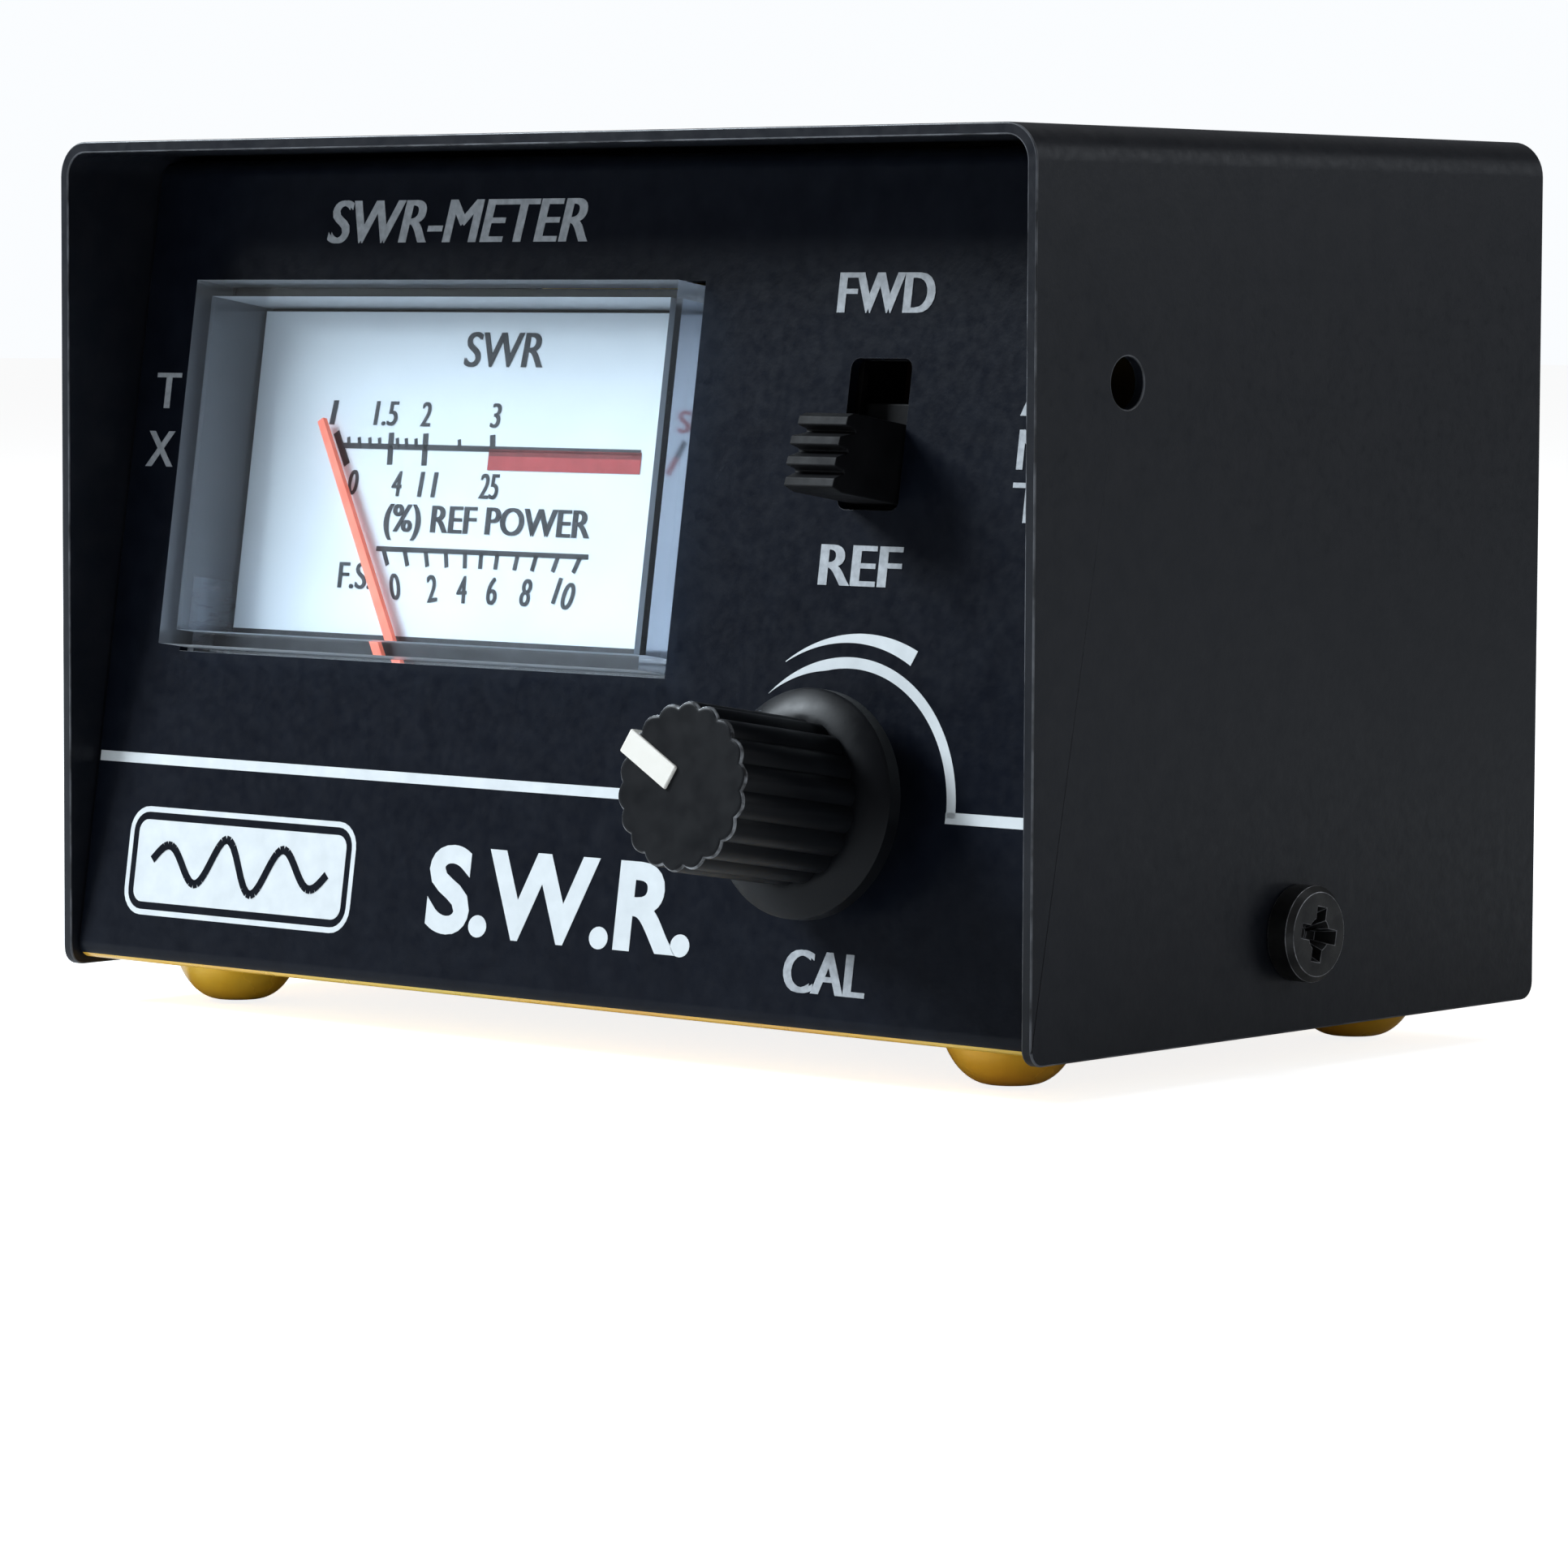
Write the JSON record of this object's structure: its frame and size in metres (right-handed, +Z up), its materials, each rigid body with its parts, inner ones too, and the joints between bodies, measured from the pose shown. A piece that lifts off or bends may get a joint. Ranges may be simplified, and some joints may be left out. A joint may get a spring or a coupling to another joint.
{
  "type": "swr meter",
  "caption": "Small steel-cased standing wave meter with a needle dial, a forward-reflected slide switch, a calibration knob and rear coax sockets.",
  "frame": {"origin": "centre of the whole part's plan outline, at the level its feet rest on", "axes": "+Z up, the front panel faces -Y, +X to the viewer's right when looking at the front"},
  "size_m": [0.0952, 0.0818, 0.0625],
  "materials": {
    "black_paint": "semi-gloss stoved enamel, front of the chassis panel painted too",
    "yellow_passivated_zinc": "yellow passivated zinc plate",
    "black_oxide_steel": "black oxide",
    "clear_styrene": "clear moulded styrene",
    "black_plastic": "moulded, satin",
    "dial_white": "matt white with printed scales",
    "needle_red": "matt red",
    "soft_iron": "ground",
    "brass": "turned",
    "enamelled_copper": "enamelled",
    "bright_steel": "bright",
    "brown_phenolic": "phenolic board",
    "marker_white": "white inlay",
    "board_tan": "paper phenolic circuit board",
    "nickel_plate": "nickel plate",
    "ptfe_white": "white insulator",
    "diode_glass": "glass",
    "resistor_beige": "lacquered",
    "ceramic_ochre": "dipped ceramic",
    "red_pvc": "insulated wire",
    "black_pvc": "insulated wire",
    "blue_pvc": "insulated wire",
    "yellow_pvc": "insulated wire"
  },
  "bodies": {
    "case": {"bypass_capacitor": "ceramic_ochre", "chassis": "yellow_passivated_zinc", "control_board": "board_tan", "coupler_board": "board_tan", "cover": "black_paint", "cover_screw_left": "black_oxide_steel", "cover_screw_right": "black_oxide_steel", "dial_plate": "dial_white", "diode_forward": "diode_glass", "diode_reflected": "diode_glass", "forward_lead": "blue_pvc", "meter_bridge": "brass", "meter_case": "black_plastic", "meter_clip": "bright_steel", "meter_core": "soft_iron", "meter_lead_minus": "black_pvc", "meter_lead_plus": "red_pvc", "meter_lens": "clear_styrene", "meter_terminal_minus": "brass", "meter_terminal_plus": "brass", "meter_yoke": "soft_iron", "pot_body": "bright_steel", "pot_bushing": "brass", "pot_nut": "bright_steel", "pot_terminal_1": "brass", "pot_terminal_2": "brass", "pot_terminal_3": "brass", "rear_jewel_screw": "brass", "reflected_lead": "yellow_pvc", "resistor_forward": "resistor_beige", "resistor_reflected": "resistor_beige", "rivet_ant_1": "nickel_plate", "rivet_ant_2": "nickel_plate", "rivet_tx_1": "nickel_plate", "rivet_tx_2": "nickel_plate", "sense_line_forward": "enamelled_copper", "sense_line_reflected": "enamelled_copper", "socket_ant": "nickel_plate", "socket_contact_ant": "brass", "socket_contact_tx": "brass", "socket_insulator_ant": "ptfe_white", "socket_insulator_tx": "ptfe_white", "socket_tx": "nickel_plate", "switch_base": "brown_phenolic", "switch_frame": "black_oxide_steel", "switch_terminal_1": "brass", "switch_terminal_2": "brass", "switch_terminal_3": "brass", "through_line": "enamelled_copper"},
    "slider": {"switch_slider": "black_plastic", "switch_contact": "brass"},
    "control": {"knob": "black_plastic", "knob_marker": "marker_white", "pot_shaft": "bright_steel", "pot_wiper": "brass"},
    "pointer": {"needle": "needle_red", "moving_coil": "enamelled_copper", "needle_staff": "bright_steel", "rear_pivot": "bright_steel", "hairspring": "brass"}
  },
  "joints": [
    {"name": "switch_slide", "type": "slide", "parent": "case", "child": "slider", "axis": [0, 0.1495, 0.9888], "range_m": [0, 0.0038]},
    {"name": "knob_turn", "type": "hinge", "parent": "case", "child": "control", "pos_m": [0.0269, -0.02483, 0.01792], "axis": [0, -0.9888, 0.1495], "range_deg": [-211.5, 88.5]},
    {"name": "needle_swing", "type": "hinge", "parent": "case", "child": "pointer", "pos_m": [-0.0109, -0.02534, 0.01456], "axis": [0, 0.9888, -0.1495], "range_deg": [0, 64], "stiffness_Nm_per_rad": 0.00002}
  ]
}
